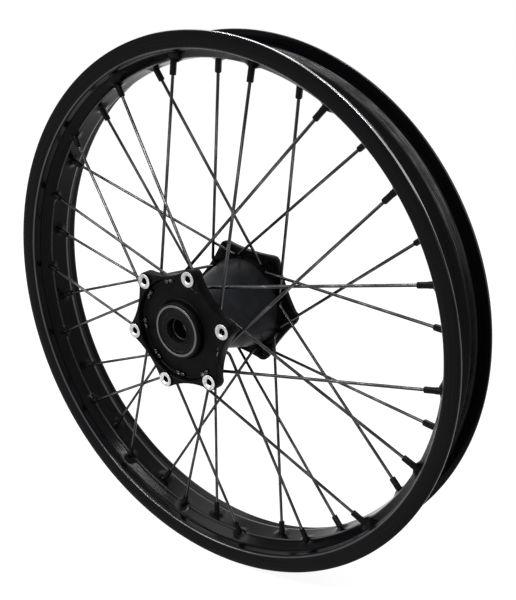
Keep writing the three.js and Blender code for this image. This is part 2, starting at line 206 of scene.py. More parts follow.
def pick(piece, test, kind="verts"):
    """Selects, in edit mode, the corners, edges or faces whose middle passes the test."""
    bpy.ops.mesh.select_all(action="DESELECT")
    bpy.ops.mesh.select_mode(type={"verts": "VERT", "edges": "EDGE", "faces": "FACE"}[kind])
    mesh = bmesh.from_edit_mesh(piece.data)
    for part in getattr(mesh, kind):
        part.select = test(part)
    mesh.select_flush_mode()
    bmesh.update_edit_mesh(piece.data)


def nearest(piece, place):
    """Selects, in edit mode, the one corner that is nearest to a place."""
    mesh = bmesh.from_edit_mesh(piece.data)
    found = min(mesh.verts, key=lambda corner: (corner.co - place).length_squared)
    pick(piece, lambda corner: corner == found)


def clean(piece):
    bpy.ops.mesh.select_all(action="SELECT")
    bpy.ops.mesh.remove_doubles(threshold=TINY)
    bpy.ops.mesh.normals_make_consistent(inside=False)


def start_at(name, place):
    """A new piece that is one corner, from a small square merged to a point, in edit mode."""
    deselect()
    bpy.ops.mesh.primitive_plane_add(size=MM)
    piece = bpy.context.object
    piece.name = name
    bpy.ops.object.mode_set(mode="EDIT")
    bpy.ops.mesh.select_mode(type="VERT")
    bpy.ops.mesh.merge(type="CENTER")
    bpy.ops.transform.translate(value=place)
    return piece


def draw(places):
    """Extrudes the selected corner along a list of places, the first of which is where it is."""
    for here, there in zip(places, places[1:]):
        bpy.ops.mesh.extrude_region_move(TRANSFORM_OT_translate={"value": there - here})


def swing(centre, angle, steps, axis=Vector((0, -1, 0))):
    """Carries what is selected round a centre, and leaves its trail. About -Y it goes from +X to +Z.

    The operator turns left-handed, so its angle is reversed here.
    """
    bpy.ops.mesh.spin(steps=steps, angle=-angle, center=centre, axis=axis)


def turned(name, outline, steps, closed=True):
    """A body turned about the axle from an outline of (radius, y) or (radius, y, rounding)."""
    spots = [Vector((point[0], point[1], 0)) * MM for point in outline]
    piece = start_at(name, spots[0])
    draw(spots + spots[:1] if closed else spots)
    bpy.ops.mesh.select_all(action="SELECT")
    bpy.ops.mesh.remove_doubles(threshold=TINY)
    for spot, point in zip(spots, outline):
        if len(point) == 3:
            nearest(piece, spot)
            bpy.ops.mesh.bevel(offset=point[2] * MM, segments=3, affect="VERTICES")
    bpy.ops.mesh.select_all(action="SELECT")
    bpy.ops.mesh.spin(steps=steps, angle=TURN, center=(0, 0, 0), axis=(0, 1, 0), use_auto_merge=True)
    clean(piece)
    leave()
    return piece


def copied(piece, name):
    deselect()
    twin = piece.copy()
    twin.data = piece.data.copy()
    twin.name = name
    bpy.context.scene.collection.objects.link(twin)
    return twin


def turned_copy(piece, name, degrees):
    """A copy with its own mesh, turned about the axle from +X towards +Z."""
    twin = copied(piece, name)
    twin.data.transform(Matrix.Rotation(-math.radians(degrees), 4, "Y"))
    return twin


def merged(name, pieces):
    deselect()
    for piece in pieces:
        piece.select_set(True)
    bpy.context.view_layer.objects.active = pieces[0]
    bpy.ops.object.join()
    pieces[0].name = name
    return pieces[0]


def combine(piece, tool, operation):
    """Cuts the tool out of a piece, or adds it, and removes the tool."""
    deselect()
    bpy.context.view_layer.objects.active = piece
    step = piece.modifiers.new("combine", "BOOLEAN")
    step.operation = operation
    step.solver = "MANIFOLD"
    step.object = tool
    bpy.ops.object.modifier_apply(modifier=step.name)
    piece.data.materials.clear()
    piece.data.polygons.foreach_set("material_index", [0] * len(piece.data.polygons))
    bpy.data.objects.remove(tool)


def smooth(piece, degrees=32):
    deselect()
    bpy.context.view_layer.objects.active = piece
    piece.select_set(True)
    bpy.ops.object.shade_smooth_by_angle(angle=math.radians(degrees))
    deselect()


def laid(piece, place, direction):
    """Lays a piece made along +Z at the origin on the line through a place in a direction."""
    turn = Vector((0, 0, 1)).rotation_difference(direction).to_matrix().to_4x4()
    piece.data.transform(Matrix.Translation(place) @ turn)
    return piece


# ---- lacing --------------------------------------------------------------------------------------


def lacing(number):
    """Where one spoke bends, where its nipple seats and which way it runs. Odd ones are near."""
    side = NEAR if number % 2 else FAR
    leads = number % 4 in (1, 2)
    even_angle = FIRST_HOLE - (number - 1) * 360 / SPOKE_COUNT
    rim_angle = even_angle + (HOLE_PAIRING if leads else -HOLE_PAIRING)
    hub_angle = rim_angle + (side["sweeps"][0] if leads else -side["sweeps"][1])
    elbow = LONG_ELBOW if leads else SHORT_ELBOW
    corner = polar(side["hole_r"], hub_angle, side["out"] * (side["web"] - elbow))
    seat = polar(NIPPLE_SEAT_R, rim_angle, NIPPLE_LINE + side["out"] * NIPPLE_ROW_OFFSET)
    return side, leads, corner, seat, (seat - corner).normalized()


# ---- rim -----------------------------------------------------------------------------------------


def rim_half(out):
    """Outline of half the rim, from the middle of the bed round the lip to the middle of the well."""
    seat_r = RIM_R - LIP_HEIGHT
    lip = RIM_HALF_WIDTH - LIP_WALL
    well_edge = lip - SEAT_WIDTH
    foot = RIM_R - BAND_HEIGHT
    foot_y = RIM_HALF_WIDTH - BAND_LEAN
    under = seat_r - UNDERSIDE_WALL
    rows = [(BED_R, row * BED_HALF_WIDTH / BED_ROWS) for row in range(BED_ROWS)]
    slope_end = well_edge + UNDERSIDE_OVERHANG
    slope_run, slope_rise = slope_end - BED_HALF_WIDTH, under - BED_R
    slope = [
        (BED_R + slope_rise * row / SLOPE_ROWS, BED_HALF_WIDTH + slope_run * row / SLOPE_ROWS)
        for row in range(1, SLOPE_ROWS)
    ]
    points = [
        *rows, (BED_R, BED_HALF_WIDTH, 1.8), *slope, (under, slope_end, 1.5),
        (under - 0.5, foot_y - 2.8, 0.4), (foot - 0.3, foot_y - 2.2, 0.3), (foot + 0.3, foot_y, 1.3),
        (RIM_R - 5, RIM_HALF_WIDTH - 0.2), (RIM_R, RIM_HALF_WIDTH, 1.2), (RIM_R, lip, 0.9),
        (RIM_R - 7, lip), (seat_r, lip, 2.2), (seat_r - 0.7, well_edge + 3.2, 0.6),
        (seat_r + 0.3, well_edge + 1.4, 0.9), (seat_r - 1.2, well_edge, 1.2),
        (BED_R + BED_WALL, well_edge - 6, 2), (BED_R + BED_WALL, 0),
    ]
    return [(point[0], out * point[1], *point[2:]) for point in points]


def raise_mounds(rim):
    edit(rim)
    for number in range(1, SPOKE_COUNT + 1):
        side, leads, corner, seat, direction = lacing(number)
        foot = seat - direction * BED_TO_SEAT * MM
        nearest(rim, foot)
        inward = -Vector((foot.x, 0, foot.z)).normalized() * MOUND_RISE * MM
        bpy.ops.transform.translate(
            value=inward,
            use_proportional_edit=True,
            proportional_edit_falloff="SMOOTH",
            proportional_size=MOUND_REACH * MM,
        )
    leave()


def hole_cutter(number):
    """A drill for one nipple: its shank through the bed and its head's seat beyond it."""
    side, leads, corner, seat, direction = lacing(number)
    r = NIPPLE_R + HOLE_GAP
    head = NIPPLE_HEAD_R + HOLE_GAP
    reach = DRILL_REACH
    outline = [(0, -reach), (r, -reach), (r, -0.3), (head, 1), (head, reach), (0, reach)]
    cutter = turned("drill", outline, DRILL_STEPS, False)
    cutter.data.transform(Matrix.Rotation(math.pi / 2, 4, "X"))
    return laid(cutter, seat, direction)


def make_rim():
    rim = turned("rim_body", rim_half(-1)[::-1] + rim_half(1)[1:-1], RIM_STEPS)
    raise_mounds(rim)
    drills = merged("drills", [hole_cutter(number) for number in range(1, SPOKE_COUNT + 1)])
    combine(rim, drills, "DIFFERENCE")
    smooth(rim)
    return rim


# ---- spokes and nipples --------------------------------------------------------------------------


def ring_on(step, scale=1.0):
    """Extrudes the selected end face by a step, and scales the new one about its own middle."""
    bpy.ops.mesh.extrude_region_move(TRANSFORM_OT_translate={"value": step})
    if scale != 1:
        bpy.ops.transform.resize(value=(scale, scale, scale))


def make_spoke(number, name):
    """One spoke: domed head, shank through the flange, elbow and straight run into its nipple."""
    side, leads, corner, seat, direction = lacing(number)
    out = Vector((0, side["out"], 0))
    foot = side["web"] + FLOOR_WALL + CLEARANCE
    top = Vector((corner.x, side["out"] * (foot + SPOKE_HEAD_HEIGHT) * MM, corner.z))
    deselect()
    bpy.ops.mesh.primitive_circle_add(
        vertices=WIRE_SIDES,
        radius=SPOKE_HEAD_R * HEAD_TOP * MM,
        fill_type="NGON",
        location=top,
        rotation=(math.pi / 2, 0, 0),
    )
    spoke = bpy.context.object
    spoke.name = name
    bpy.ops.object.transform_apply(location=True, rotation=True)
    bpy.ops.object.mode_set(mode="EDIT")
    bpy.ops.mesh.select_mode(type="FACE")
    bpy.ops.mesh.select_all(action="SELECT")
    ring_on(out * -0.5 * MM, 1 / HEAD_CROWN)
    ring_on(out * -0.5 * MM, HEAD_CROWN / HEAD_TOP)
    ring_on(out * -0.6 * MM)
    ring_on(out * -0.6 * MM, SPOKE_R / SPOKE_HEAD_R)
    run = LONG_ELBOW_RUN if leads else SHORT_ELBOW
    bend_start = corner + out * run * MM
    ring_on(bend_start - top + out * SPOKE_HEAD_HEIGHT * MM)
    angle = direction.angle(-out)
    reach = run * MM / math.tan(angle / 2)
    towards = (direction + out * math.cos(angle)).normalized()
    swing(bend_start + towards * reach, angle, ELBOW_STEPS, towards.cross(out))
    bend_end = corner + direction * run * MM
    ring_on(seat - direction * MM - bend_end)
    clean(spoke)
    leave()
    mark_grain(spoke, corner, direction)
    smooth(spoke, 50)
    return spoke


def mark_grain(spoke, corner, direction):
    """Writes on each corner of a wire its place round the wire, and its distance along it."""
    across = direction.orthogonal().normalized()
    upright = direction.cross(across)
    grain = spoke.data.attributes.new("grain", "FLOAT_VECTOR", "POINT")
    for spot, value in zip(spoke.data.vertices, grain.data):
        out = spot.co - corner
        value.vector = (out.dot(across), out.dot(upright), out.dot(direction))


def make_nipple():
    """A nipple along +Z with its seat at the origin: domed head, round shank and square drive end."""
    outline = [
        (SPOKE_R + 0.1, NIPPLE_TIP + 1.2), (SPOKE_R + 0.5, NIPPLE_TIP), (NIPPLE_R - 0.6, NIPPLE_TIP),
        (NIPPLE_R, NIPPLE_TIP + 0.6), (NIPPLE_R, -7.4), (NIPPLE_R, -6.8), (NIPPLE_R, -0.2),
        (NIPPLE_HEAD_R - 0.2, 0.6), (NIPPLE_HEAD_R, 1.0), (NIPPLE_HEAD_R - 0.1, 1.9),
        (NIPPLE_HEAD_R - 0.9, 2.7), (SPOKE_R + 0.9, 3), (SPOKE_R + 0.1, 2.6),
    ]
    nipple = turned("nipple", outline, NIPPLE_SIDES)
    nipple.data.transform(Matrix.Rotation(math.pi / 2, 4, "X"))
    edit(nipple)
    for way, keep in ((Vector((1, 0, 0)), (0, 1, 1)), (Vector((0, 1, 0)), (1, 0, 1))):
        for sign in (1, -1):
            flat = way * sign * DRIVE_HALF * MM
            pick(nipple, lambda corner: on_drive(corner.co, flat))
            bpy.ops.transform.resize(value=keep, center_override=flat)
    clean(nipple)
    leave()
    smooth(nipple, 40)
    return nipple


def on_drive(co, flat):
    """Whether a corner of the drive end lies further out than one of its four flats."""
    return co.z < DRIVE_START * MM and co.dot(flat) > flat.length_squared


def make_spokes():
    patterns = {number: make_spoke(number, f"spoke_pattern_{number}") for number in (1, 2, 3, 4)}
    pattern = make_nipple()
    made = []
    for number in range(1, SPOKE_COUNT + 1):
        first = (number - 1) % 4 + 1
        turn = -(number - first) * 360 / SPOKE_COUNT
        spoke = turned_copy(patterns[first], f"wire_{number:02d}", turn)
        side, leads, corner, seat, direction = lacing(number)
        nipple = laid(copied(pattern, f"nipple_{number:02d}"), seat, direction)
        made.append((number, spoke, nipple))
    for piece in [*patterns.values(), pattern]:
        bpy.data.objects.remove(piece)
    return made


# ---- hub -----------------------------------------------------------------------------------------


def lug_plate(name, side, front, back):
    """A plate with a round lug at each bolt and hollow curves between, wider at its back."""
    spread = 180 / LUG_COUNT
    gap = side["mid_r"] - LUG_R
    middle = LUG_CIRCLE_R * math.cos(math.radians(spread))
    hollow_at = (LUG_CIRCLE_R**2 - gap**2) / (2 * (middle - gap))
    y = side["out"] * front
    first = polar(LUG_CIRCLE_R, side["lug_angle"], y)
    hollow = polar(hollow_at, side["lug_angle"] + spread, y)
    wrap = (hollow - first).angle(Vector((first.x, 0, first.z)))
    sweep = 2 * (wrap - math.radians(spread))
    start = first + Matrix.Rotation(wrap, 3, "Y") @ polar(LUG_R, side["lug_angle"])
    plate = start_at(name, start)
    for k in range(LUG_COUNT):
        lug_angle = side["lug_angle"] + k * 2 * spread
        swing(polar(LUG_CIRCLE_R, lug_angle, y), 2 * wrap, LUG_STEPS)
        swing(polar(hollow_at, lug_angle + spread, y), -sweep, HOLLOW_STEPS)
    bpy.ops.mesh.select_all(action="SELECT")
    bpy.ops.mesh.remove_doubles(threshold=PLATE_WELD * MM)
    bpy.ops.mesh.edge_face_add()
    bpy.ops.mesh.extrude_region_move(
        TRANSFORM_OT_translate={"value": (0, side["out"] * (back - front) * MM, 0)}
    )
    bpy.ops.transform.resize(value=(PLATE_GROWTH, 1, PLATE_GROWTH), center_override=(0, 0, 0))
    clean(plate)
    for level, radius in ((front, FRONT_ROUNDING), (back, BACK_ROUNDING)):
        plane = side["out"] * level * MM
        pick(plate, lambda edge: all(abs(v.co.y - plane) < TINY for v in edge.verts), "edges")
        bpy.ops.mesh.bevel(offset=radius * MM, segments=3, affect="EDGES")
    clean(plate)
    leave()
    return plate


def lug_angles(side):
    return [side["lug_angle"] + k * 360 / LUG_COUNT for k in range(LUG_COUNT)]


def at_each_lug(pattern, side):
    """Copies of a body made on the axle, one at each lug, joined as one piece."""
    copies = []
    for k, angle in enumerate(lug_angles(side)):
        twin = copied(pattern, f"{pattern.name}_{k}")
        twin.data.transform(Matrix.Translation(polar(LUG_CIRCLE_R, angle)))
        copies.append(twin)
    bpy.data.objects.remove(pattern)
    return merged("lug_set", copies)


def dish(side):
    """What is cut out of a flange: the recess in its front, and the way through for the barrel."""
    floor = side["web"] + FLOOR_WALL
    cast = side["face"] - BOSS_RISE
    outline = [
        (0, side["web"] - DRILL_REACH), (DISH_BORE_R, side["web"] - DRILL_REACH), (DISH_BORE_R, floor),
        (side["recess_r"], floor, 2.2), (side["recess_r"] + 0.6, cast - 0.9, 0.3),
        (side["recess_r"] + 1.4, cast), (LUG_CIRCLE_R, cast + DRILL_REACH), (0, cast + DRILL_REACH),
    ]
    return turned("dish", [(r, side["out"] * y, *more) for r, y, *more in outline], HUB_STEPS)


def bosses(side):
    """The raised bodies round the threads, which run back from the lug faces through the flange."""
    outline = [
        (0, side["web"] - 1), (BOSS_R + 0.8, side["web"] - 1, 0.8), (BOSS_R + 0.1, side["face"] - 1.6),
        (BOSS_R, side["face"], 0.35), (0, side["face"]),
    ]
    pattern = turned("boss", [(r, side["out"] * y, *more) for r, y, *more in outline], BOSS_STEPS)
    return at_each_lug(pattern, side)


def thread_drills(side):
    """Drills that go through the lugs: a chamfered mouth and the thread's ridges."""
    face = side["face"]
    ridges = [(THREAD_R + (0.45 if k % 2 else 0), face - 1.2 - k * 0.625) for k in range(16)]
    mouth = THREAD_R + 1.1
    outline = [
        (0, side["web"] - 4), (THREAD_R, side["web"] - 4), *ridges[::-1],
        (mouth, face), (mouth, face + 2), (0, face + 2),
    ]
    pattern = turned("drill", [(r, side["out"] * y) for r, y in outline], DRILL_STEPS)
    return at_each_lug(pattern, side)


def spoke_drills():
    """Drills for the spokes: through the web, with a seat for the head and a way in for it."""
    made = []
    for number in range(1, SPOKE_COUNT + 1):
        side, leads, corner, seat, direction = lacing(number)
        floor = side["web"] + FLOOR_WALL
        outline = [
            (0, side["web"] - 5), (WIRE_HOLE_R, side["web"] - 5), (WIRE_HOLE_R, floor - 1),
            (HEAD_POCKET_R, floor + 0.05), (HEAD_POCKET_R, floor + HEAD_ROOM), (0, floor + HEAD_ROOM),
        ]
        drill = turned("drill", [(r, side["out"] * y) for r, y in outline], POCKET_STEPS)
        drill.data.transform(Matrix.Translation((corner.x, 0, corner.z)))
        made.append(drill)
    return merged("spoke_drills", made)


def barrel():
    """Everything of the hub that is round about the axle, bores included."""
    def end(side):
        out = side["out"]
        ring = side["face"] - 0.5
        bearing = ring - 0.7 - SEAL_WIDTH - CLEARANCE
        back = bearing - BEARING_WIDTH - CLEARANCE
        floor = side["web"] + FLOOR_WALL
        inner = [
            (SHOULDER_R, back - 4), (SHOULDER_R, back, 0.3), (BEARING_R + CLEARANCE, back, 0.3),
            (BEARING_R + CLEARANCE, bearing, 0.2), (SEAL_R + CLEARANCE, bearing, 0.2),
            (SEAL_R + CLEARANCE, ring, 0.35), (RING_R, ring, 0.3),
            (RING_R + 0.5, ring - 0.9, 0.3), (BOSS_OUTER_R, ring - 1.7, 0.7),
            (BOSS_OUTER_R + 1.8, floor, 1.5), (BOSS_OUTER_R + 6, floor - 0.6),
        ]
        return [(r, out * y, *more) for r, y, *more in inner]
    outside = [
        (40, -57), (37.6, -55, 1), (33.6, -49, 4), (33.4, -32, 8), (35.5, -15, 10), (39.5, -2, 10),
        (44, 12, 10), (46.4, 22, 8), (48.4, 32, 5), (50.2, 38.6, 2), (52, 41, 0.8), (52, 43),
    ]
    hollow = [(27.4, -32), (27.5, -26, 3), (29.5, -14, 5), (33.5, -2, 6), (37, 9, 4), (37, 15, 4)]
    outline = end(NEAR) + outside + end(FAR)[::-1] + hollow[::-1]
    return turned("barrel", outline, HUB_STEPS)


def flange(side):
    cast = side["face"] - BOSS_RISE
    body = lug_plate("flange", side, cast, side["web"])
    combine(body, dish(side), "DIFFERENCE")
    combine(body, bosses(side), "UNION")
    return body


def make_hub():
    hub = barrel()
    hub.name = "hub_casting"
    for side in (NEAR, FAR):
        combine(hub, flange(side), "UNION")
    for side in (NEAR, FAR):
        combine(hub, thread_drills(side), "DIFFERENCE")
    combine(hub, spoke_drills(), "DIFFERENCE")
    smooth(hub, 34)
    return hub


# ---- seals, bearings and spacer ------------------------------------------------------------------


def facing(side, outline):
    """An outline whose distances along the axle are counted outwards on one side."""
    return [(point[0], side["out"] * point[1], *point[2:]) for point in outline]


def seal_face(side):
    return side["face"] - RING_STEP - SEAL_SETBACK


def make_seal(side):
    """A dust seal: a stiff rim, a dished face with a moulded bead, and two lips at its bore."""
    face = seal_face(side)
    back = face - SEAL_WIDTH
    outline = [
        (SEAL_R, back, 0.5), (SEAL_R, face - 0.2, 0.6), (SEAL_R - 1.6, face, 0.3),
        (SEAL_R - 2.3, face - 0.9, 0.3),
        (18.6, face - 1.1), (17.9, face - 0.6, 0.3), (16.9, face - 0.6, 0.3), (16.2, face - 1.1),
        (SEAL_LIP_R + 1.9, face - 1, 0.2), (SEAL_LIP_R + 1.5, face, 0.25), (SEAL_LIP_R + 0.4, face, 0.2),
        (SEAL_LIP_R, face - 0.7), (SEAL_LIP_R + 0.5, face - 2.4), (SEAL_LIP_R, face - 4.4),
        (SEAL_LIP_R + 0.2, back + 0.2, 0.1), (SEAL_LIP_R + 1.4, back + 0.2, 0.3),
        (SEAL_LIP_R + 1.9, face - 2.6, 0.3), (SEAL_R - 2.2, face - 2.6, 0.5),
        (SEAL_R - 2.2, back),
    ]
    return turned(f"dust_seal_{side['name']}", facing(side, outline), SEAL_STEPS)


def bearing_middle(side):
    return side["out"] * (seal_face(side) - SEAL_WIDTH - CLEARANCE - BEARING_WIDTH / 2)


def race(name, side, plain_r, direction):
    """A race with rounded corners and a groove whose arc is a little wider than the balls."""
    half = BEARING_WIDTH / 2
    pitch_r = (AXLE_R + BEARING_R) / 2
    shoulder = pitch_r + direction * SHOULDER_GAP
    groove_r = BALL_R + RACE_GAP
    edge = math.acos(SHOULDER_GAP / groove_r)
    sweep = [edge - k * 2 * edge / GROOVE_STEPS for k in range(GROOVE_STEPS + 1)]
    groove = [(pitch_r + direction * groove_r * math.cos(a), groove_r * math.sin(a)) for a in sweep]
    sides = [(plain_r, -half, 1), (plain_r, half, 1), (shoulder, half, 0.5)]
    outline = [*sides, *groove, (shoulder, -half, 0.5)]
    ring = turned(name, outline, SEAL_STEPS)
    ring.data.transform(Matrix.Translation((0, bearing_middle(side) * MM, 0)))
    return ring


def ball(name, radius):
    """A ball turned from a half circle."""
    arc = [math.pi * (k / BALL_STEPS - 0.5) for k in range(BALL_STEPS + 1)]
    outline = [(radius * math.cos(a), radius * math.sin(a)) for a in arc]
    return turned(name, outline, 2 * BALL_STEPS, False)


def on_pitch_circle(pattern):
    """One copy of a body made at the origin for each ball of a bearing, joined as one piece."""
    pitch_r = (AXLE_R + BEARING_R) / 2
    copies = []
    for k in range(BALL_COUNT):
        twin = copied(pattern, f"{pattern.name}_{k}")
        twin.data.transform(Matrix.Translation(polar(pitch_r, k * 360 / BALL_COUNT)))
        copies.append(twin)
    bpy.data.objects.remove(pattern)
    return merged("ball_ring", copies)


def make_ball_set(side):
    """The balls of one bearing in their cage, a turned ring with a round pocket for each."""
    pitch_r = (AXLE_R + BEARING_R) / 2
    inner, outer, half = pitch_r - CAGE_WALL / 2, pitch_r + CAGE_WALL / 2, CAGE_WIDTH / 2
    outline = [(inner, -half, 0.3), (outer, -half, 0.3), (outer, half, 0.3), (inner, half, 0.3)]
    cage = turned("cage", outline, SEAL_STEPS)
    combine(cage, on_pitch_circle(ball("pocket", BALL_R + POCKET_GAP)), "DIFFERENCE")
    balls = on_pitch_circle(ball("ball", BALL_R))
    balls.data.materials.append(MATERIALS["bearing_steel"])
    cage.data.materials.append(MATERIALS["cage_brass"])
    both = merged(f"balls_in_cage_{side['name']}", [balls, cage])
    both.data.transform(Matrix.Translation((0, bearing_middle(side) * MM, 0)))
    return both


def make_spacer():
    """The tube between the two inner races, its ends chamfered inside and out."""
    half = BEARING_WIDTH / 2 + CLEARANCE
    near, far = (bearing_middle(side) - side["out"] * half for side in (NEAR, FAR))
    outline = [(AXLE_R, near, 0.5), (SPACER_R, near, 0.6), (SPACER_R, far, 0.6), (AXLE_R, far, 0.5)]
    return turned("spacer_tube", outline, SEAL_STEPS)


# ---- materials -----------------------------------------------------------------------------------


class Finish:
    """One material. Each method adds a node and gives back the output that the next one takes."""

    def __init__(self, name, metallic=0.0, specular=0.5):
        self.material = bpy.data.materials.new(name)
        self.material.use_nodes = True
        self.tree = self.material.node_tree
        self.shader = self.tree.nodes["Principled BSDF"]
        self.shader.inputs["Metallic"].default_value = metallic
        self.shader.inputs["Specular IOR Level"].default_value = specular
        self.place = self.tree.nodes.new("ShaderNodeTexCoord").outputs["Object"]
        apart = self.tree.nodes.new("ShaderNodeSeparateXYZ")
        self.tree.links.new(self.place, apart.inputs[0])
        self.x, self.y, self.z = apart.outputs
        squares = self.math("POWER", self.x, 2), self.math("POWER", self.z, 2)
        self.r = self.math("SQRT", self.math("ADD", *squares))

    def fill(self, socket, value):
        if isinstance(value, bpy.types.NodeSocket):
            self.tree.links.new(value, socket)
        else:
            socket.default_value = value

    def math(self, operation, first, second=0.0):
        node = self.tree.nodes.new("ShaderNodeMath")
        node.operation = operation
        self.fill(node.inputs[0], first)
        self.fill(node.inputs[1], second)
        return node.outputs[0]

    def between(self, value, low, high, to_low=0.0, to_high=1.0):
        """A smooth step: to_low up to low, to_high from high on."""
        node = self.tree.nodes.new("ShaderNodeMapRange")
        node.interpolation_type = "SMOOTHSTEP"
        for socket, number in zip(node.inputs, (value, low, high, to_low, to_high)):
            self.fill(socket, number)
        return node.outputs[0]

    def line(self, value, middle, half):
        """1 on a line and 0 beyond half its width."""
        return self.between(self.math("ABSOLUTE", self.math("SUBTRACT", value, middle)), 0, half, 1, 0)

    def noise(self, scale, detail=3, rough=0.5, place=None, w=None):
        node = self.tree.nodes.new("ShaderNodeTexNoise")
        node.noise_dimensions = "3D" if w is None else "4D"
        self.fill(node.inputs["Vector"], place or self.place)
        if w is not None:
            self.fill(node.inputs["W"], w)
        node.inputs["Scale"].default_value = scale
        node.inputs["Detail"].default_value = detail
        node.inputs["Roughness"].default_value = rough
        return node.outputs["Fac"]

    def attribute(self, name):
        node = self.tree.nodes.new("ShaderNodeAttribute")
        node.attribute_name = name
        return node.outputs["Vector"]

    def stretched(self, place, scale):
        node = self.tree.nodes.new("ShaderNodeMapping")
        self.tree.links.new(place, node.inputs["Vector"])
        node.inputs["Scale"].default_value = scale
        return node.outputs[0]

    def streaks(self, along, across, detail=3):
        """Marks that run round the axle: along is their scale round it, across their scale a millimetre."""
        node = self.tree.nodes.new("ShaderNodeCombineXYZ")
        self.fill(node.inputs[0], self.math("MULTIPLY", self.math("DIVIDE", self.x, self.r), along))
        self.fill(node.inputs[1], self.math("MULTIPLY", self.y, across / MM))
        self.fill(node.inputs[2], self.math("MULTIPLY", self.math("DIVIDE", self.z, self.r), along))
        return self.noise(1, detail, 0.55, node.outputs[0], self.math("MULTIPLY", self.r, across / MM))

    def mix(self, share, low, high):
        """A colour between two, each given as (r, g, b) or an output."""
        node = self.tree.nodes.new("ShaderNodeMix")
        node.data_type = "RGBA"
        self.fill(node.inputs[0], share)
        for socket, colour in zip(node.inputs[6:8], (low, high)):
            self.fill(socket, (*colour, 1) if isinstance(colour, tuple) else colour)
        return node.outputs[2]

    def bump(self, height, depth, normal=None):
        """Relief whose full height is depth millimetres."""
        node = self.tree.nodes.new("ShaderNodeBump")
        node.inputs["Distance"].default_value = depth * MM
        self.fill(node.inputs["Height"], height)
        if normal is not None:
            self.fill(node.inputs["Normal"], normal)
        return node.outputs[0]

    def done(self, colour, rough, normal=None):
        self.fill(self.shader.inputs["Base Color"], colour)
        self.fill(self.shader.inputs["Roughness"], rough)
        if normal is not None:
            self.fill(self.shader.inputs["Normal"], normal)
        return self.material


def rim_finish():
    """Black anodising, brushed round the rim, rubbed bare along its edges and the bead seats. Over the top
    of the rim it carries painted highlights: a bright bare line on the near lip's edge and grey streaks on
    the bead seats.
    """
    f = Finish("rim_black", specular=0.055)
    brushed = f.streaks(2.2, 1.3)
    fine = f.streaks(9, 4)
    clouds = f.noise(14, 4, 0.6)
    coat = f.mix(f.between(brushed, 0.35, 0.7), (0.0007, 0.0008, 0.0011), (0.0024, 0.0025, 0.003))
    lip = (RIM_HALF_WIDTH - LIP_WALL) * MM
    # Painted highlight: over the top of the rim the near lip's edge is made bright bare metal, standing for
    # the light it catches there.
    highlight_arc = f.between(f.z, 0.06, 0.2)
    inside = f.between(f.math("ABSOLUTE", f.y), lip + 0.6 * MM, lip)
    on_seat = f.math("MULTIPLY", f.line(f.r, (RIM_R - LIP_HEIGHT) * MM, 2.2 * MM), inside)
    rubbed = f.math("MULTIPLY", f.between(fine, 0.4, 0.62), f.between(clouds, 0.3, 0.6, 0.25, 1))
    # The bead seats' grey rubbed streaks are partly wear and partly painted sheen: full over the top of the
    # rim, faint below.
    seat = f.math("MULTIPLY", f.math("MULTIPLY", on_seat, rubbed), f.between(f.z, 0.06, 0.2, 0.12, 1))
    coat = f.mix(seat, coat, (0.15, 0.148, 0.145))
    corner = f.between(f.r, (RIM_R - 0.6) * MM, (RIM_R - 0.2) * MM)
    worn = f.math("MULTIPLY", corner, f.between(f.streaks(3, 0.8), 0.38, 0.6))
    near_edge_highlight = f.math("MULTIPLY", f.between(f.y, 0, -0.02), highlight_arc)
    # The lip's bare corner is real wear all round at a low share, and a painted highlight along the near
    # lip at the top.
    edge = f.math("MULTIPLY", worn, f.math("ADD", f.math("MULTIPLY", near_edge_highlight, 0.9), 0.06))
    polish = rubbed_corners(f, fine)
    coat = f.mix(polish, coat, (0.09, 0.09, 0.096))
    coat = f.mix(edge, coat, (0.72, 0.72, 0.73))
    f.fill(f.shader.inputs["Metallic"], f.math("MAXIMUM", edge, polish))
    rough = f.between(f.math("ADD", clouds, fine), 0.7, 1.3, 0.11, 0.2)
    return f.done(coat, rough, f.bump(fine, 0.03))


def rubbed_corners(f, fine):
    """Where the coat is polished through, on the band's foot and the two corners of the bed."""
    side = f.math("ABSOLUTE", f.y)
    foot = f.line(f.r, (RIM_R - BAND_HEIGHT + 0.5) * MM, 1.2 * MM)
    foot = f.math("MULTIPLY", foot, f.line(side, (RIM_HALF_WIDTH - BAND_LEAN - 0.6) * MM, 1.4 * MM))
    bed = f.line(f.r, BED_R * MM, 1 * MM)
    bed = f.math("MULTIPLY", bed, f.line(side, BED_HALF_WIDTH * MM, 1.6 * MM))
    broken = f.between(fine, 0.35, 0.55, 0.3, 1)
    return f.math("MULTIPLY", f.math("MAXIMUM", foot, bed), broken)


def hub_finish():
    """Satin black paint over sand-cast aluminium. The barrel between the flanges is painted a lighter,
    bluish grey, a painted sheen for the light that falls on it.
    """
    f = Finish("hub_black", specular=0.04)
    peel = f.noise(1100, 2, 0.5)
    clouds = f.noise(55, 4, 0.6)
    coat = f.mix(f.between(clouds, 0.35, 0.75), (0.0007, 0.0008, 0.0009), (0.0028, 0.0025, 0.0024))
    # Painted sheen: the barrel's lighter colour stands for the light on it, and the flanges keep the dark
    # paint.
    on_barrel = f.between(f.math("ABSOLUTE", f.math("ADD", f.y, 8 * MM)), 45 * MM, 40 * MM)
    barrel_painted_sheen = f.mix(f.between(clouds, 0.3, 0.7), (0.009, 0.0095, 0.0115), (0.015, 0.0155, 0.018))
    coat = f.mix(on_barrel, coat, barrel_painted_sheen)
    rough = f.between(clouds, 0.3, 0.7, 0.28, 0.44)
    return f.done(coat, rough, f.bump(peel, 0.04, f.bump(clouds, 0.3)))


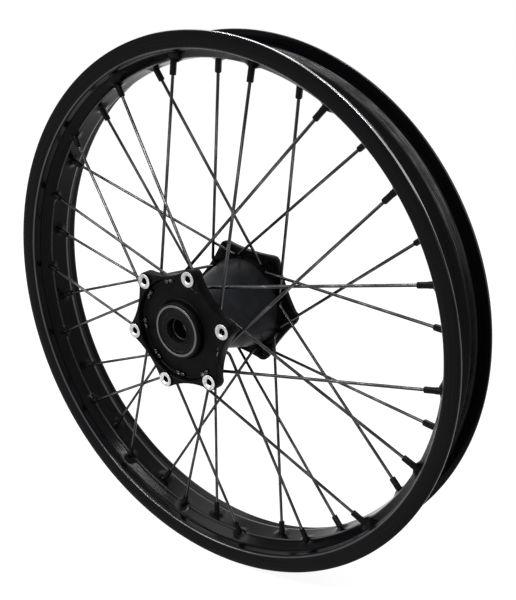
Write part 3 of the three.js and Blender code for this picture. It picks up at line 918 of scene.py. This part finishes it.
def machined_finish():
    """Faces skimmed bare after painting, with fine turning marks and a few dull patches."""
    f = Finish("hub_machined", metallic=1)
    marks = f.streaks(1.5, 7)
    patches = f.noise(420, 3, 0.6)
    broad = f.noise(16, 1, 0.5)
    metal = f.mix(f.between(patches, 0.35, 0.7), (0.78, 0.79, 0.8), (0.42, 0.42, 0.43))
    metal = f.mix(f.between(broad, 0.42, 0.58, 0, 0.45), metal, (0.24, 0.24, 0.25))
    metal = f.mix(f.between(marks, 0.4, 0.62, 0, 0.35), metal, (0.2, 0.2, 0.21))
    inner = f.between(f.r, 27 * MM, 31 * MM)
    metal = f.mix(inner, (0.11, 0.11, 0.115), metal)
    return f.done(metal, f.between(marks, 0.3, 0.7, 0.34, 0.52), f.bump(marks, 0.02))


def spoke_finish():
    """Dark plated drawn steel: bright die lines along the wire, the plating thin in places."""
    f = Finish("spoke_steel", metallic=1)
    grain = f.attribute("grain")
    lines = f.noise(1, 3, 0.6, f.stretched(grain, (900, 900, 14)))
    thin = f.noise(1, 3, 0.6, f.stretched(grain, (240, 240, 36)))
    metal = f.mix(f.between(lines, 0.42, 0.66), (0.018, 0.0185, 0.02), (0.09, 0.09, 0.093))
    metal = f.mix(f.between(thin, 0.52, 0.74), metal, (0.2, 0.2, 0.2))
    return f.done(metal, f.between(lines, 0.3, 0.7, 0.22, 0.38), f.bump(lines, 0.03))


def nipple_finish():
    """Black plated brass nipples, a little bare metal showing on the worn corners."""
    f = Finish("nipple_black", specular=0.06)
    grain = f.noise(700, 3, 0.6)
    coat = f.mix(f.between(grain, 0.58, 0.8), (0.002, 0.002, 0.0023), (0.012, 0.012, 0.013))
    return f.done(coat, f.between(grain, 0.3, 0.7, 0.22, 0.38), f.bump(grain, 0.04))


def rubber_finish():
    f = Finish("seal_rubber", specular=0.06)
    grain = f.noise(1600, 3, 0.6)
    dust = f.noise(220, 4, 0.6)
    rubber = f.mix(f.between(dust, 0.4, 0.8), (0.0025, 0.0025, 0.0027), (0.008, 0.008, 0.0085))
    return f.done(rubber, f.between(dust, 0.3, 0.7, 0.5, 0.68), f.bump(grain, 0.03))


def turned_metal(name, light, dark, rough):
    """Ground or turned metal with marks that run round the axle."""
    f = Finish(name, metallic=1)
    marks = f.streaks(2, 9)
    stain = f.noise(260, 3, 0.6)
    metal = f.mix(f.between(f.math("ADD", marks, stain), 0.8, 1.25), light, dark)
    return f.done(metal, f.between(marks, 0.3, 0.7, rough, rough + 0.14), f.bump(marks, 0.012))


MATERIALS = {
    "rim_black": rim_finish(),
    "hub_black": hub_finish(),
    "hub_machined": machined_finish(),
    "spoke_steel": spoke_finish(),
    "nipple_black": nipple_finish(),
    "seal_rubber": rubber_finish(),
    # The bearing steel is coloured far darker than bare steel, painted shade for the dark inside of the
    # bore.
    "bearing_steel": turned_metal("bearing_steel", (0.03, 0.031, 0.033), (0.016, 0.0165, 0.018), 0.34),
    "cage_brass": turned_metal("cage_brass", (0.5, 0.36, 0.16), (0.34, 0.24, 0.1), 0.32),
    "spacer_alloy": turned_metal("spacer_alloy", (0.42, 0.43, 0.45), (0.26, 0.27, 0.29), 0.3),
}


# ---- putting the wheel together ------------------------------------------------------------------


def fit(piece, body, slot, *nodes):
    """Gives a piece the slot's material if it has none, puts it in its body and hides the CAD nodes it
    stands for.
    """
    if not piece.data.materials:
        piece.data.materials.append(MATERIALS[slot])
    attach(piece, body)
    if nodes:
        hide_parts(*nodes)


def bare_faces(hub):
    """Gives the skimmed lug faces and the rings round the seals their bare metal."""
    hub.data.materials.append(MATERIALS["hub_black"])
    hub.data.materials.append(MATERIALS["hub_machined"])
    for face in hub.data.polygons:
        side = NEAR if face.center.y < 0 else FAR
        level = side["out"] * face.center.y / MM
        r = math.hypot(face.center.x, face.center.z) / MM
        outward = side["out"] * face.normal.y
        lug = level > side["face"] - LUG_DEPTH and r > LUG_INNER_R
        ring = level > side["face"] - RING_STEP - RING_DEPTH and r < RING_R + RING_DEPTH
        face.material_index = int(outward > FACING_OUT and (lug or ring))


def build_wheel():
    fit(make_rim(), "wheel", "rim_black", "rim")
    hub = make_hub()
    bare_faces(hub)
    fit(hub, "wheel", "hub_black", "hub_shell")
    for number, spoke, nipple in make_spokes():
        fit(spoke, "wheel", "spoke_steel", f"spoke_{number:02d}")
        fit(nipple, "wheel", "nipple_black")
    for side in (NEAR, FAR):
        name = side["name"]
        fit(make_seal(side), "wheel", "seal_rubber", f"seal_{name}")
        outer = race(f"race_outer_{name}", side, BEARING_R, 1)
        inner = race(f"race_inner_{name}", side, AXLE_R, -1)
        fit(outer, "wheel", "bearing_steel", f"bearing_{name}_outer_race")
        fit(inner, "axle_set", "bearing_steel", f"bearing_{name}_inner_race")
        fit(make_ball_set(side), f"balls_{name}", "bearing_steel", f"bearing_{name}_ball_set")
    fit(make_spacer(), "axle_set", "spacer_alloy", "bearing_spacer")


# ---- floor, light and camera ---------------------------------------------------------------------


def white_to_the_eye(tree, soft, eye):
    """Shows one shader to camera, glossy and transmission rays, and another to all the rest."""
    path = tree.nodes.new("ShaderNodeLightPath")
    seen = path.outputs["Is Camera Ray"]
    for kind in ("Is Glossy Ray", "Is Transmission Ray"):
        either = tree.nodes.new("ShaderNodeMath")
        either.operation = "MAXIMUM"
        tree.links.new(seen, either.inputs[0])
        tree.links.new(path.outputs[kind], either.inputs[1])
        seen = either.outputs[0]
    blend = tree.nodes.new("ShaderNodeMixShader")
    tree.links.new(seen, blend.inputs[0])
    tree.links.new(soft, blend.inputs[1])
    tree.links.new(eye, blend.inputs[2])
    return blend.outputs[0]


def make_world():
    world = bpy.data.worlds.new("studio")
    bpy.context.scene.world = world
    world.use_nodes = True
    tree = world.node_tree
    soft = tree.nodes["Background"]
    soft.inputs["Color"].default_value = (1, 1, 1, 1)
    soft.inputs["Strength"].default_value = WORLD_LIGHT
    eye = tree.nodes.new("ShaderNodeBackground")
    eye.inputs["Color"].default_value = (1, 1, 1, 1)
    shown = white_to_the_eye(tree, soft.outputs[0], eye.outputs[0])
    tree.links.new(shown, tree.nodes["World Output"].inputs[0])


def make_floor():
    deselect()
    bpy.ops.mesh.primitive_plane_add(size=FLOOR_SIZE, location=(0, 0, -RIM_R * MM - FLOOR_GAP))
    floor = bpy.context.object
    floor.name = "floor"
    paint = bpy.data.materials.new("floor_white")
    paint.use_nodes = True
    tree = paint.node_tree
    matt = tree.nodes["Principled BSDF"]
    matt.inputs["Base Color"].default_value = (0.86, 0.86, 0.86, 1)
    matt.inputs["Roughness"].default_value = 0.9
    matt.inputs["Specular IOR Level"].default_value = 0
    glow = tree.nodes.new("ShaderNodeEmission")
    glow.inputs["Strength"].default_value = FLOOR_GLOW
    lit = tree.nodes.new("ShaderNodeMixShader")
    lit.inputs[0].default_value = FLOOR_WHITE
    tree.links.new(matt.outputs[0], lit.inputs[1])
    tree.links.new(glow.outputs[0], lit.inputs[2])
    shown = white_to_the_eye(tree, matt.outputs[0], lit.outputs[0])
    tree.links.new(shown, tree.nodes["Material Output"].inputs[0])
    floor.data.materials.append(paint)


def make_lamp(name, place, size, power):
    """A flat lamp that faces the middle of the wheel."""
    lamp = bpy.data.lights.new(name, "AREA")
    lamp.shape = "RECTANGLE"
    lamp.size, lamp.size_y = size
    lamp.energy = power
    holder = bpy.data.objects.new(name, lamp)
    bpy.context.scene.collection.objects.link(holder)
    holder.location = place
    holder.rotation_euler = (-Vector(place)).to_track_quat("-Z", "Y").to_euler()


def make_camera():
    azimuth, elevation = math.radians(CAMERA_AZIMUTH), math.radians(CAMERA_ELEVATION)
    right = Vector((math.cos(azimuth), math.sin(azimuth), 0))
    back = Vector((right.y * math.cos(elevation), -right.x * math.cos(elevation), math.sin(elevation)))
    up = back.cross(right)
    place = (back * CAMERA_DISTANCE + right * CAMERA_SIDE + up * CAMERA_RISE) * MM
    camera = bpy.data.cameras.new("camera")
    camera.lens = CAMERA_LENS
    holder = bpy.data.objects.new("camera", camera)
    bpy.context.scene.collection.objects.link(holder)
    holder.matrix_world = Matrix.Translation(place) @ Matrix((right, up, back)).transposed().to_4x4()
    bpy.context.scene.camera = holder


build_wheel()
make_world()
make_floor()
for lamp in LAMPS:
    make_lamp(*lamp)
make_camera()
bpy.context.scene.view_settings.view_transform = "Standard"
